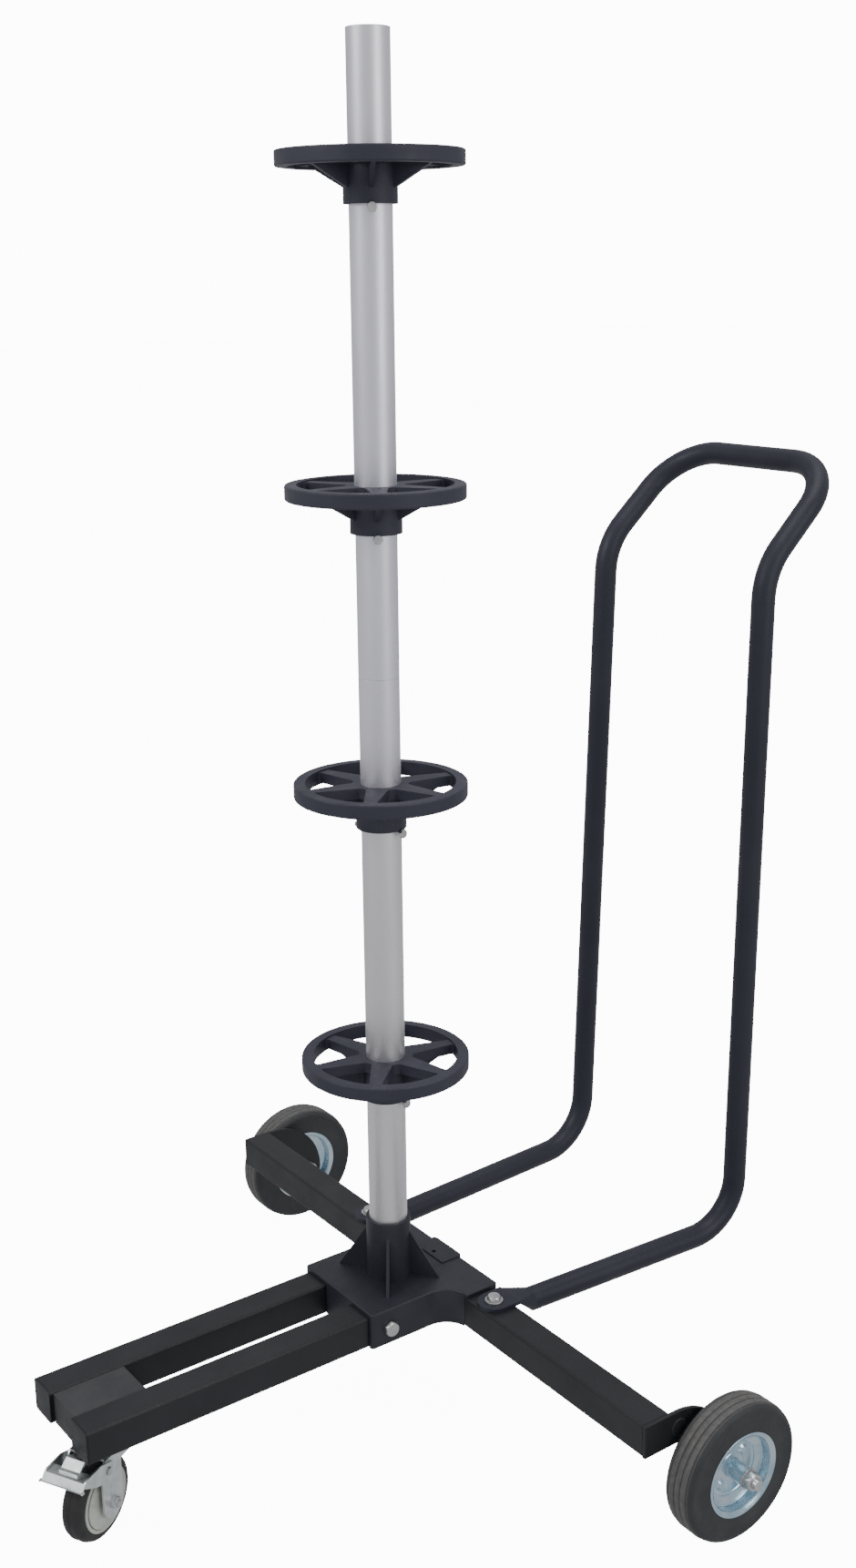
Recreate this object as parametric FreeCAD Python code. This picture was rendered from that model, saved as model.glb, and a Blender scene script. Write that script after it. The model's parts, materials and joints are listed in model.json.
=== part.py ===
# Storage tree for four car wheels on a three-wheeled trolley with a push handle.
# Frame: origin on the floor, under the middle of the object; +X right, +Y towards the handle, +Z up.
# Everything is drawn about the mast axis and moved along Y by mast_y when it is written out.
import FreeCAD, Part
import math
import os

V = FreeCAD.Vector
X_AXIS = V(1, 0, 0)
Y_AXIS = V(0, 1, 0)
Z_AXIS = V(0, 0, 1)

# Fits, in millimetres
running_gap = 0.05        # radial gap of a turning fit
slide_gap = 0.3           # radial gap of a disc that slides on the mast
tube_gap = 0.3            # gap round a tube inside the hub
pin_gap = 0.2             # radial gap of a bolt in its hole
face_gap = 0.3            # gap between faces that turn past each other

# Square tube of the base
tube_size = 38.0
tube_wall = 2.0
tube_corner = 3.0
tube_axis_z = 135.5
beam_half = 399.0         # half length of the cross beam
beam_y = 59.0             # beam axis behind the mast
leg_mast_gap = 3.0        # between the mast and the leg tube on each side of it
leg_front = 427.0         # leg ends in front of the mast
cap_depth = 18.0
cap_wall = 2.0
spacer_length = 84.0
spacer_recess = 3.0

# Hub moulding
hub_side_wall = 6.5       # wall outside each leg tube
hub_front = 74.0          # front edge, before the mast
hub_rear_wall = 7.8       # wall behind the beam
hub_top = 5.5             # thickness over the tubes
hub_corner = 30.0         # concave corner between leg part and arm part
socket_wall = 4.0
socket_height = 74.0      # above the hub's top face
rib_angle = 37.0          # ribs stand this far from the X axis
rib_reach = 36.0          # ribs reach this far outside the socket
rib_thick = 3.5
rib_root = 3.0            # ribs start this far inside the socket's wall
rib_drop = 18.0           # rib ends this far below the socket's rim
tab_half = 27.0
tab_depth = 27.0
tab_proud = 3.0
tab_rise = 1.2
tab_hole = 5.0
tab_corner = 5.0
pocket_half = 20.0
pocket_front = 5.0        # wall in front of the pocket
pocket_wall = 11.5        # between the pocket and the mast
hub_bolt_clear = 25.5     # from the mast to the cross bolt's axis
hub_edge = 4.0            # rounding of the upright corners
hub_top_edge = 2.0

# Mast
mast_radius = 22.5
mast_wall = 2.0
mast_top = 1540.0
mast_seam = 886.0
mast_floor = 4.0          # hub floor under the mast
sleeve_half = 70.0
sleeve_wall = 2.5

# Carrier discs, one under each stored wheel
disc_radius = 96.4
disc_height = 52.0        # rim top to collar end, which rests on the pin
disc_rim = 16.0           # height of the rim band
disc_rim_wall = 13.0
disc_rim_edge = 2.0
disc_ledge = 1.5          # the spokes lie this far below the rim top
disc_web = 12.0           # spoke height
disc_collar_wall = 5.2
disc_spokes = 6
disc_spoke_width = 13.0
disc_gusset_reach = 66.0
disc_gusset_drop = 21.0
disc_gusset_thick = 5.0
window_gap = 3.5          # between the collar and the narrow end of each window
window_apex = 4.0         # half width of that end
window_corner = 3.5
lowest_disc_top = 442.0
disc_pitch = 326.0
top_pitch = 332.0
disc_pin = 6.0            # diameter; a snug fit in the mast
pin_head_gap = 0.6        # the pin's head and nut clear the collar
rest_gap = 0.3            # between a collar's end and its pin
pin_turn_upper = -32.0    # heading of the two upper pins, from the X axis
pin_turn_lower = 17.0

# Transport wheels
wheel_radius = 80.0
wheel_width = 39.0
wheel_x = 430.5
axle_back = 81.0          # axle behind the beam axis
axle_z = wheel_radius
tread_groove = 1.6
tread_groove_width = 2.4
sidewall_radius = 72.0
rim_radius = 48.0
rim_lip = 3.0
rim_sheet = 1.8
rim_barrel = 42.5
rim_web_x = 4.0
wheel_hub_radius = 10.5
wheel_hub_length = 50.0
axle_radius = 6.0
rivet_circle = 22.0
rivet_radius = 3.5
rivet_count = 4
bracket_thick = 5.0
bracket_width = 38.0
bracket_boss = 10.0
bracket_boss_rise = 1.5

# Push handle
handle_radius = 14.0
handle_wall = 1.6
handle_foot_gap = 8.0     # between the hub and each flattened handle end
handle_run_sink = 13.5    # the low run's axis lies this far below the beam's top
handle_run_y = 430.0
handle_low_x = 146.0
handle_knee_x = 136.0
handle_knee_y = 450.0
handle_knee_z = 972.0
handle_bar_x = 132.0
handle_bar_y = 571.0
handle_bar_z = 1083.0
handle_low_bend = 66.0
handle_knee_bend = 83.0
handle_bar_bend = 70.0
handle_joint_z = 290.0
handle_sleeve_half = 45.0
handle_sleeve_wall = 1.5
tongue_thick = 4.5
tongue_width = 38.0
tongue_straight = 24.0
tongue_blend = 30.0

# Fasteners
m6_flats = 10.0
m8_radius = 4.0
m8_flats = 13.0
m10_radius = 5.0
m10_flats = 17.0
m12_flats = 19.0
head_share = 0.62         # head height as a share of the thread size
nut_share = 0.8
washer_thick = 2.0
bolt_tail = 3.0           # a bolt's end stands this far out of its nut

# Castor
castor_y = -359.0
castor_yaw = 28.0
castor_radius = 47.5
castor_width = 26.0
castor_trail = 53.0
castor_core_radius = 36.5
castor_rim_width = 4.0    # flat ring of the core, outside the covers
castor_groove = 1.0
castor_hub_radius = 9.0
castor_axle_radius = 4.0
fork_half = 24.0          # outside of the fork's sides
fork_sheet = 2.5
race_height = 9.5         # between the top plate and the fork
fork_leg_half = 17.0
fork_front = 70.0
fork_flange = 10.0
fork_rear = 27.0
castor_bolt_inset = 4.5   # plate bolts stand this far inside the leg tubes' axes
castor_plate_margin = 12.5
castor_plate_thick = 3.0
castor_bolt_y = 30.0
race_radius = 20.0
ball_radius = 3.0
ball_count = 14
kingpin_radius = 6.0
pedal_reach = 110.0
pedal_drop = 1.0          # foot plate below the fork's top
pedal_half = 28.0
pedal_sheet = 2.0
pedal_pivot_reach = 60.0
pedal_pivot_drop = 13.0
pedal_pin_radius = 3.0
pedal_tread = 8.0         # length of the curled front
pedal_flat = 15.0
tab_width = 24.0
release_rise = 9.0

# Places worked out from the sizes above
tube_half = tube_size / 2
leg_x = mast_radius + leg_mast_gap + tube_half
hub_leg_half = leg_x + tube_half + hub_side_wall
hub_arm_half = hub_leg_half + hub_corner
handle_foot_x = hub_arm_half + handle_foot_gap + tongue_width / 2
socket_radius = mast_radius + socket_wall
rib_foot = socket_radius + rib_reach
pocket_back = mast_radius + pocket_wall
hub_bolt_y = -mast_radius - hub_bolt_clear
disc_collar = mast_radius + slide_gap + disc_collar_wall
tube_bottom = tube_axis_z - tube_half
tube_top = tube_axis_z + tube_half
hub_top_z = tube_top + hub_top
beam_front = beam_y - tube_half
beam_rear = beam_y + tube_half
hub_arm_front = beam_front
hub_rear = beam_rear + hub_rear_wall
socket_z = hub_top_z + socket_height
axle_y = beam_y + axle_back
bracket_out = beam_half + bracket_thick
castor_reach_front = -castor_y + pedal_reach * math.cos(math.radians(castor_yaw))
castor_tip = castor_reach_front + pedal_half * math.sin(math.radians(castor_yaw))
handle_rear = handle_bar_y + handle_radius
mast_y = (castor_tip - handle_rear) / 2
pin_seat = disc_collar + pin_head_gap
pin_drop = disc_height + rest_gap + disc_pin / 2
disc_tops = [lowest_disc_top + disc_pitch * k for k in range(3)]
disc_tops.append(disc_tops[2] + top_pitch)
plate_z = tube_bottom - castor_plate_thick
castor_bolt_x = leg_x - castor_bolt_inset
handle_run_z = tube_top - handle_run_sink
fork_top_z = plate_z - race_height
pedal_z = fork_top_z - pedal_drop
pedal_pivot_z = fork_top_z - pedal_pivot_drop


def save(name, shape):
    shape = shape.copy()
    shape.translate(V(0, mast_y, 0))
    if shape.ShapeType == "Compound" and len(shape.Solids) == 1:
        shape = shape.Solids[0]
    shape.exportStep("parts/" + name + ".step")
    print(name, len(shape.Solids), "solid(s)", round(shape.Volume), "mm3", shape.isValid())


def box(x0, x1, y0, y1, z0, z1):
    return Part.makeBox(x1 - x0, y1 - y0, z1 - z0, V(x0, y0, z0))


def cyl(radius, start, end):
    axis = end - start
    return Part.makeCylinder(radius, axis.Length, start, axis)


def ring(outer, inner, start, end):
    return cyl(outer, start, end).cut(cyl(inner, start, end))


def revolve_x(points):
    """A closed outline of (x, radius) points, turned round the X axis."""
    wire = Part.makePolygon([V(x, r, 0) for x, r in points + points[:1]])
    return Part.Face(wire).revolve(V(0, 0, 0), X_AXIS, 360)


def flat(points, normal_y=None, normal_x=None, normal_z=None):
    """A face through points given in the plane's own two coordinates."""
    if normal_x is not None:
        corners = [V(normal_x, a, b) for a, b in points]
    elif normal_y is not None:
        corners = [V(a, normal_y, b) for a, b in points]
    else:
        corners = [V(a, b, normal_z) for a, b in points]
    return Part.Face(Part.makePolygon(corners + corners[:1]))


def hexagon(flats, start, direction):
    """A hexagon prism whose length and heading are those of direction."""
    corner = flats / math.sqrt(3)
    points = [V(corner * math.cos(math.radians(60 * k)), corner * math.sin(math.radians(60 * k)), 0)
              for k in range(7)]
    prism = Part.Face(Part.makePolygon(points)).extrude(V(0, 0, direction.Length))
    prism.Placement = FreeCAD.Placement(start, FreeCAD.Rotation(Z_AXIS, direction))
    return prism


def hex_bolt(radius, flats, seat, direction, length):
    """The head stands behind the seat; the shank runs along direction."""
    unit = V(direction).normalize()
    head_height = 2 * radius * head_share
    head = hexagon(flats, seat - unit * head_height, unit * head_height)
    dome = Part.makeCone(flats * 0.46, flats * 0.62, head_height, seat - unit * head_height, unit)
    return head.common(dome).fuse(cyl(radius, seat, seat + unit * length)).removeSplitter()


def hex_nut(radius, flats, seat, direction):
    """A nut that stands on the seat and points along direction."""
    unit = V(direction).normalize()
    height = 2 * radius * nut_share
    body = hexagon(flats, seat, unit * height)
    dome = Part.makeCone(flats * 0.62, flats * 0.46, height, seat, unit)
    hole = cyl(radius, seat - unit, seat + unit * (height + 1))
    return body.common(dome).cut(hole)


def washer(inner, outer, seat, direction):
    unit = V(direction).normalize()
    return ring(outer, inner, seat, seat + unit * washer_thick)


def is_vertical(edge):
    if edge.Curve.TypeId != "Part::GeomLine":
        return False
    return abs(edge.tangentAt(edge.FirstParameter).z) > 0.99


def square_tube(length, axis):
    """A tube from the origin along X or Y, with rounded long edges."""
    bar = box(0, length, -tube_half, tube_half, -tube_half, tube_half)
    bar = bar.makeFillet(tube_corner, [e for e in bar.Edges if runs_along(e, X_AXIS)])
    inner_half = tube_half - tube_wall
    bore = box(0, length, -inner_half, inner_half, -inner_half, inner_half)
    bore = bore.makeFillet(tube_corner - tube_wall, [e for e in bore.Edges if runs_along(e, X_AXIS)])
    tube = bar.cut(bore)
    if axis == Y_AXIS:
        tube.rotate(V(0, 0, 0), Z_AXIS, 90)
    return tube


def runs_along(edge, axis):
    if edge.Curve.TypeId != "Part::GeomLine":
        return False
    return abs(edge.tangentAt(edge.FirstParameter).dot(axis)) > 0.99


# ---- base frame

def make_cross_beam():
    beam = square_tube(2 * beam_half, X_AXIS)
    beam.translate(V(-beam_half, beam_y, tube_axis_z))
    for side in (-1, 1):
        foot = V(side * handle_foot_x, beam_y, tube_bottom - 1)
        beam = beam.cut(cyl(m8_radius + pin_gap, foot, foot + V(0, 0, tube_size + 2)))
    return beam


def make_leg_tube(side):
    tube = square_tube(leg_front + beam_front, Y_AXIS)
    tube.translate(V(side * leg_x, -leg_front, tube_axis_z))
    bolt_line = V(0, hub_bolt_y, tube_axis_z)
    reach = X_AXIS * hub_leg_half
    tube = tube.cut(cyl(m10_radius + pin_gap, bolt_line - reach, bolt_line + reach))
    for dy in (-castor_bolt_y, castor_bolt_y):
        foot = V(side * castor_bolt_x, castor_y + dy, tube_bottom - 1)
        tube = tube.cut(cyl(m8_radius + pin_gap, foot, foot + V(0, 0, tube_wall + 2)))
    return tube


def make_leg_cap(side):
    half = tube_half - tube_wall
    face = box(-tube_half, tube_half, -cap_wall, 0, -tube_half, tube_half)
    face = face.makeFillet(tube_corner, [e for e in face.Edges if runs_along(e, Y_AXIS)])
    plug = box(-half, half, 0, cap_depth, -half, half)
    plug = plug.makeFillet(tube_corner - tube_wall, [e for e in plug.Edges if runs_along(e, Y_AXIS)])
    inner = half - cap_wall
    plug = plug.cut(box(-inner, inner, 0, cap_depth + 1, -inner, inner))
    cap = face.fuse(plug).removeSplitter()
    cap.translate(V(side * leg_x, -leg_front, tube_axis_z))
    return cap


def make_spacer():
    half = leg_x - tube_half
    front = -leg_front + spacer_recess
    block = box(-half, half, front, front + spacer_length, tube_bottom, tube_top - 1.5)
    well = kingpin_radius + 8
    return block.cut(cyl(well, V(0, castor_y, tube_bottom), V(0, castor_y, tube_bottom + 12)))


def hub_outline(z):
    """The hub's plan, with a concave arc at each inner corner."""
    turn = V(hub_arm_half, hub_arm_front - hub_corner, z)
    mid = turn + V(-math.sqrt(0.5), math.sqrt(0.5), 0) * hub_corner
    corners_right = [V(hub_leg_half, -hub_front, z), V(hub_leg_half, hub_arm_front - hub_corner, z)]
    arm_start = V(hub_arm_half, hub_arm_front, z)
    arm_end = V(hub_arm_half, hub_rear, z)
    flip = lambda p: V(-p.x, p.y, p.z)
    edges = [Part.LineSegment(flip(corners_right[0]), corners_right[0]).toShape(),
             Part.LineSegment(corners_right[0], corners_right[1]).toShape(),
             Part.Arc(corners_right[1], mid, arm_start).toShape()]
    edges.append(Part.LineSegment(arm_start, arm_end).toShape())
    edges.append(Part.LineSegment(arm_end, flip(arm_end)).toShape())
    edges.append(Part.LineSegment(flip(arm_end), flip(arm_start)).toShape())
    edges.append(Part.Arc(flip(arm_start), flip(mid), flip(corners_right[1])).toShape())
    edges.append(Part.LineSegment(flip(corners_right[1]), flip(corners_right[0])).toShape())
    return Part.Face(Part.Wire(edges))


def make_rib(angle):
    points = [(socket_radius - rib_root, hub_top_z - 1), (rib_foot, hub_top_z - 1), (rib_foot, hub_top_z),
              (socket_radius, socket_z - rib_drop), (socket_radius - rib_root, socket_z - rib_drop)]
    rib = flat(points, normal_y=-rib_thick / 2).extrude(V(0, rib_thick, 0))
    rib.rotate(V(0, 0, 0), Z_AXIS, angle)
    return rib


def make_hub():
    hub = hub_outline(tube_bottom).extrude(V(0, 0, hub_top_z - tube_bottom))
    uprights = [e for e in hub.Edges if is_vertical(e) and abs(e.CenterOfMass.x) > hub_leg_half - 1
                and (e.CenterOfMass.y < -hub_front + 1 or e.CenterOfMass.y > hub_rear - 1)]
    hub = hub.makeFillet(hub_edge, uprights)
    top_edges = [e for e in hub.Edges if e.BoundBox.ZMin > hub_top_z - 0.01]
    hub = hub.makeFillet(hub_top_edge, top_edges)
    hub = hub.fuse(cyl(socket_radius, V(0, 0, tube_top), V(0, 0, socket_z)))
    for angle in (rib_angle, 180 - rib_angle, 180 + rib_angle, -rib_angle):
        hub = hub.fuse(make_rib(angle))
    tab = box(-tab_half, tab_half, hub_rear - tab_depth, hub_rear + tab_proud, tube_top,
              hub_top_z + tab_rise)
    outer_edges = [e for e in tab.Edges if is_vertical(e) and e.CenterOfMass.y > hub_rear]
    tab = tab.makeFillet(tab_corner, outer_edges)
    hub = hub.fuse(tab)
    for side in (-1, 1):
        edge_a = side * leg_x - tube_half - tube_gap
        edge_b = side * leg_x + tube_half + tube_gap
        hub = hub.cut(box(edge_a, edge_b, -hub_front - 1, beam_y, tube_bottom - 1, tube_top))
    hub = hub.cut(box(-hub_arm_half - 1, hub_arm_half + 1, beam_front - tube_gap, beam_rear + tube_gap,
                      tube_bottom - 1, tube_top))
    pocket_low = -hub_front + pocket_front
    hub = hub.cut(box(-pocket_half, pocket_half, pocket_low, -pocket_back, tube_bottom - 1, tube_top))
    floor_z = tube_bottom + mast_floor
    hub = hub.cut(cyl(mast_radius + pin_gap, V(0, 0, floor_z), V(0, 0, socket_z + 1)))
    bolt_line = V(0, hub_bolt_y, tube_axis_z)
    reach = X_AXIS * (hub_leg_half + 1)
    hub = hub.cut(cyl(m10_radius + pin_gap, bolt_line - reach, bolt_line + reach))
    hole_y = hub_rear - tab_depth * 0.72
    hub = hub.cut(cyl(tab_hole / 2, V(0, hole_y, tube_top - 1), V(0, hole_y, hub_top_z + 5)))
    return hub.removeSplitter()


def make_hub_bolt():
    seat = V(hub_leg_half, hub_bolt_y, tube_axis_z)
    return hex_bolt(m10_radius, m10_flats, seat, -X_AXIS, 2 * hub_leg_half + washer_thick + 12)


def make_hub_nut():
    seat = V(-hub_leg_half, hub_bolt_y, tube_axis_z)
    disc = washer(m10_radius, 10.0, seat, -X_AXIS)
    nut = hex_nut(m10_radius, m10_flats, seat - X_AXIS * washer_thick, -X_AXIS)
    return Part.makeCompound([disc, nut])


# ---- mast and carrier discs

def make_mast(bottom, top, pin_heights):
    tube = ring(mast_radius, mast_radius - mast_wall, V(0, 0, bottom), V(0, 0, top))
    for height, turn in pin_heights:
        tube = tube.cut(pin_rod(height, turn, disc_pin / 2))
    return tube


def heading(turn):
    return V(math.cos(math.radians(turn)), math.sin(math.radians(turn)), 0)


def pin_rod(height, turn, radius):
    reach = heading(turn) * (mast_radius + 2)
    centre = V(0, 0, height)
    return cyl(radius, centre - reach, centre + reach)


def pin_places():
    """Height and heading of the cross pin under each disc, lowest first."""
    turns = [pin_turn_lower, pin_turn_lower, pin_turn_upper, pin_turn_upper]
    return [(top - pin_drop, turn) for top, turn in zip(disc_tops, turns)]


def make_mast_sleeve():
    outer = mast_radius - mast_wall - running_gap
    half = Z_AXIS * sleeve_half
    seam = Z_AXIS * mast_seam
    return ring(outer, outer - sleeve_wall, seam - half, seam + half)


def make_pin_bolt(height, turn):
    unit = heading(turn)
    seat = V(0, 0, height) + unit * pin_seat
    return hex_bolt(disc_pin / 2, m6_flats, seat, -unit, 2 * pin_seat + disc_pin * nut_share + bolt_tail)


def make_pin_nut(height, turn):
    unit = heading(turn)
    seat = V(0, 0, height) - unit * pin_seat
    return hex_nut(disc_pin / 2, m6_flats, seat, -unit)


def spoke_window():
    """One rounded window between two spokes, narrow end inwards, as a prism round +X."""
    outer = disc_radius - disc_rim_wall
    inner = disc_collar + window_gap
    half = math.radians(180.0 / disc_spokes)
    far_turn = half - math.asin(disc_spoke_width / 2 / outer)
    near_turn = math.asin(window_apex / inner)
    far = V(outer * math.cos(far_turn), outer * math.sin(far_turn), 0)
    near = V(inner * math.cos(near_turn), inner * math.sin(near_turn), 0)
    flip = lambda p: V(p.x, -p.y, 0)
    edges = [Part.LineSegment(near, far).toShape(),
             Part.Arc(far, V(outer, 0, 0), flip(far)).toShape(),
             Part.LineSegment(flip(far), flip(near)).toShape(),
             Part.LineSegment(flip(near), near).toShape()]
    prism = Part.Face(Part.Wire(edges)).extrude(V(0, 0, disc_rim + 2))
    return prism.makeFillet(window_corner, [e for e in prism.Edges if is_vertical(e)])


def make_disc(pin_height, turn):
    """The disc resting on a pin, its first spoke along the pin's heading."""
    top = pin_height + pin_drop
    bore = mast_radius + slide_gap
    rim_bottom = top - disc_rim
    rim = ring(disc_radius, disc_radius - disc_rim_wall, V(0, 0, rim_bottom), V(0, 0, top))
    outer_edges = [e for e in rim.Edges if e.Length > 2 * math.pi * (disc_radius - 1)]
    rim = rim.makeFillet(disc_rim_edge, outer_edges)
    web_top = top - disc_ledge
    web_low = web_top - disc_web
    web = ring(disc_radius - disc_rim_wall / 2, bore, V(0, 0, web_low), V(0, 0, web_top))
    window = spoke_window()
    window.translate(V(0, 0, web_low - 1))
    for k in range(disc_spokes):
        cut = window.copy()
        cut.rotate(V(0, 0, 0), Z_AXIS, turn + (k + 0.5) * 360 / disc_spokes)
        web = web.cut(cut)
    collar = ring(disc_collar, bore, V(0, 0, top - disc_height), V(0, 0, web_top))
    disc = rim.fuse([web, collar])
    for k in range(disc_spokes):
        disc = disc.fuse(make_gusset(rim_bottom, web_low, turn + k * 360 / disc_spokes))
    return disc.removeSplitter()


def make_gusset(rim_bottom, web_low, turn):
    """The rib under one spoke, from the collar out to the rim band."""
    slope = disc_gusset_drop / (disc_gusset_reach - disc_collar)
    foot = rim_bottom - disc_gusset_drop
    web_reach = disc_collar + (web_low - foot) / slope
    points = [(disc_collar - 2, web_low + 1), (web_reach, web_low + 1), (web_reach, web_low),
              (disc_collar, foot), (disc_collar - 2, foot)]
    gusset = flat(points, normal_y=-disc_gusset_thick / 2).extrude(V(0, disc_gusset_thick, 0))
    gusset.rotate(V(0, 0, 0), Z_AXIS, turn)
    return gusset


# ---- wheel brackets and transport wheels

def make_bracket(side):
    """A plate that closes the beam end and bends down to the axle."""
    half = bracket_width / 2
    bend = tube_axis_z - axle_z
    bend_y = axle_y - bend
    start_y = beam_front
    low = tube_axis_z - half
    high = tube_axis_z + half
    outline = [Part.LineSegment(V(0, start_y, low), V(0, start_y, high)).toShape(),
               Part.LineSegment(V(0, start_y, high), V(0, bend_y, high)).toShape(),
               bend_arc(bend_y, axle_z, bend + half),
               Part.Arc(V(0, axle_y + half, axle_z), V(0, axle_y, axle_z - half),
                        V(0, axle_y - half, axle_z)).toShape(),
               bend_arc(bend_y, axle_z, bend - half),
               Part.LineSegment(V(0, bend_y, low), V(0, start_y, low)).toShape()]
    plate = Part.Face(Part.Wire(Part.__sortEdges__(outline))).extrude(V(bracket_thick, 0, 0))
    boss_centre = V(bracket_thick, beam_rear + bracket_boss, tube_axis_z)
    plate = plate.fuse(cyl(bracket_boss, boss_centre, boss_centre + V(bracket_boss_rise, 0, 0)))
    hole_start = V(-1, axle_y, axle_z)
    plate = plate.cut(cyl(axle_radius + running_gap, hole_start, hole_start + X_AXIS * (bracket_thick + 2)))
    plate.translate(V(beam_half, 0, 0))
    return plate if side > 0 else plate.mirror(V(0, 0, 0), X_AXIS)


def bend_arc(centre_y, centre_z, radius):
    middle = V(0, centre_y + radius * math.sqrt(0.5), centre_z + radius * math.sqrt(0.5))
    return Part.Arc(V(0, centre_y, centre_z + radius), middle, V(0, centre_y + radius, centre_z)).toShape()


def tyre_outline():
    half = wheel_width / 2
    shoulder = wheel_radius - 3
    points = [(-half, rim_radius + 1), (-half, sidewall_radius), (-half + 4, shoulder)]
    rib = half - 5
    points.append((-rib, wheel_radius - 0.6))
    for centre in (-rib / 3, rib / 3):
        edge = tread_groove_width / 2
        points.append((centre - edge, wheel_radius))
        points.append((centre - edge * 0.4, wheel_radius - tread_groove))
        points.append((centre + edge * 0.4, wheel_radius - tread_groove))
        points.append((centre + edge, wheel_radius))
    points.append((rib, wheel_radius - 0.6))
    points += [(half - 4, shoulder), (half, sidewall_radius), (half, rim_radius + 1)]
    bead = half - rim_lip
    points += [(bead, rim_radius + 1), (bead, rim_barrel + rim_sheet), (-bead, rim_barrel + rim_sheet),
               (-bead, rim_radius + 1)]
    return points


def to_wheel(shape, side):
    if side < 0:
        shape = shape.mirror(V(0, 0, 0), X_AXIS)
    shape.translate(V(side * wheel_x, axle_y, axle_z))
    return shape


def rim_half_outline():
    half = wheel_width / 2
    lip_in = half - rim_lip
    web = rim_web_x
    return [(half, rim_radius + 1), (lip_in, rim_radius + 1), (lip_in, rim_barrel + rim_sheet),
            (web, rim_barrel + rim_sheet), (0, rim_barrel - 6), (0, wheel_hub_radius),
            (rim_sheet, wheel_hub_radius), (rim_sheet, rim_barrel - 8), (web + rim_sheet, rim_barrel),
            (half - 1, rim_barrel), (half, rim_radius - 2)]


def make_rim_half(direction):
    rim = revolve_x([(direction * x, r) for x, r in rim_half_outline()])
    for centre in rivet_points():
        rim = rim.cut(cyl(rivet_radius, centre - X_AXIS * 20, centre + X_AXIS * 20))
    return rim


def rivet_points():
    turns = [math.radians(45 + 360 * k / rivet_count) for k in range(rivet_count)]
    return [V(0, rivet_circle * math.cos(a), rivet_circle * math.sin(a)) for a in turns]


def make_rivets():
    rivets = []
    for centre in rivet_points():
        shank = cyl(rivet_radius, centre - X_AXIS * rim_sheet, centre + X_AXIS * rim_sheet)
        for way in (-1, 1):
            seat = centre + X_AXIS * way * rim_sheet
            shank = shank.fuse(Part.makeCone(rivet_radius * 1.8, rivet_radius, 2.0, seat, X_AXIS * way))
        rivets.append(shank.removeSplitter())
    return Part.makeCompound(rivets)


def make_hub_tube():
    half = wheel_hub_length / 2
    tube = ring(wheel_hub_radius, axle_radius + running_gap, V(-half, 0, 0), V(half, 0, 0))
    return tube


def make_axle_bolt(side):
    seat = V(side * beam_half, axle_y, axle_z)
    length = wheel_x - beam_half + wheel_hub_length / 2
    length += 2 * washer_thick + 2 * axle_radius * nut_share + bolt_tail
    return hex_bolt(axle_radius, m12_flats, seat, X_AXIS * side, length)


def washer_seat(side):
    return V(side * (wheel_x + wheel_hub_length / 2 + face_gap), axle_y, axle_z)


def make_axle_washers(side):
    inner_seat = V(side * bracket_out, axle_y, axle_z)
    gap = wheel_x - wheel_hub_length / 2 - bracket_out - face_gap
    inner = ring(axle_radius + 3, axle_radius, inner_seat, inner_seat + X_AXIS * side * gap)
    outer = washer(axle_radius, 12.0, washer_seat(side), X_AXIS * side)
    return [inner, outer]


def make_axle_nut(side):
    return hex_nut(axle_radius, m12_flats, washer_seat(side) + X_AXIS * side * washer_thick, X_AXIS * side)


# ---- push handle

def fillet_path(points, radii):
    """Straight runs joined by tangent arcs."""
    edges = []
    start = points[0]
    for k in range(1, len(points) - 1):
        before = (points[k - 1] - points[k]).normalize()
        after = (points[k + 1] - points[k]).normalize()
        turn = before.getAngle(after)
        reach = radii[k - 1] / math.tan(turn / 2)
        centre_way = (before + after).normalize()
        centre = points[k] + centre_way * (radii[k - 1] / math.sin(turn / 2))
        arc_start = points[k] + before * reach
        arc_end = points[k] + after * reach
        arc_mid = centre - centre_way * radii[k - 1]
        edges.append(Part.LineSegment(start, arc_start).toShape())
        edges.append(Part.Arc(arc_start, arc_mid, arc_end).toShape())
        start = arc_end
    edges.append(Part.LineSegment(start, points[-1]).toShape())
    return Part.Wire(edges)


def pipe(points, radii, outer, inner):
    path = fillet_path(points, radii)
    way = (points[1] - points[0]).normalize()
    outside = path.makePipeShell([round_wire(outer, points[0], way)], True, True)
    inside = path.makePipeShell([round_wire(inner, points[0], way)], True, True)
    return outside.cut(inside)


def handle_run_start(side):
    """Where the lower tube becomes round, behind the beam."""
    return V(side * handle_foot_x, beam_y + tongue_straight + tongue_blend, handle_run_z)


def handle_corner(side):
    return V(side * handle_low_x, handle_run_y, handle_run_z)


def handle_knee(side):
    return V(side * handle_knee_x, handle_knee_y, handle_knee_z)


def handle_joint(side):
    """Where the loop meets the lower tube, on the line from corner to knee."""
    low = handle_corner(side)
    rise = handle_knee(side) - low
    return low + rise * ((handle_joint_z - low.z) / rise.z)


def tongue_wire(width, height, centre):
    """A flattened round, in the plane across Y, in four pieces."""
    half_flat = (width - height) / 2
    r = height / 2
    corners = [V(half_flat, 0, r), V(-half_flat, 0, r), V(-half_flat, 0, -r), V(half_flat, 0, -r)]
    corners = [c + centre for c in corners]
    left = centre + V(-half_flat - r, 0, 0)
    right = centre + V(half_flat + r, 0, 0)
    return Part.Wire([Part.LineSegment(corners[0], corners[1]).toShape(),
                      Part.Arc(corners[1], left, corners[2]).toShape(),
                      Part.LineSegment(corners[2], corners[3]).toShape(),
                      Part.Arc(corners[3], right, corners[0]).toShape()])


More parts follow.
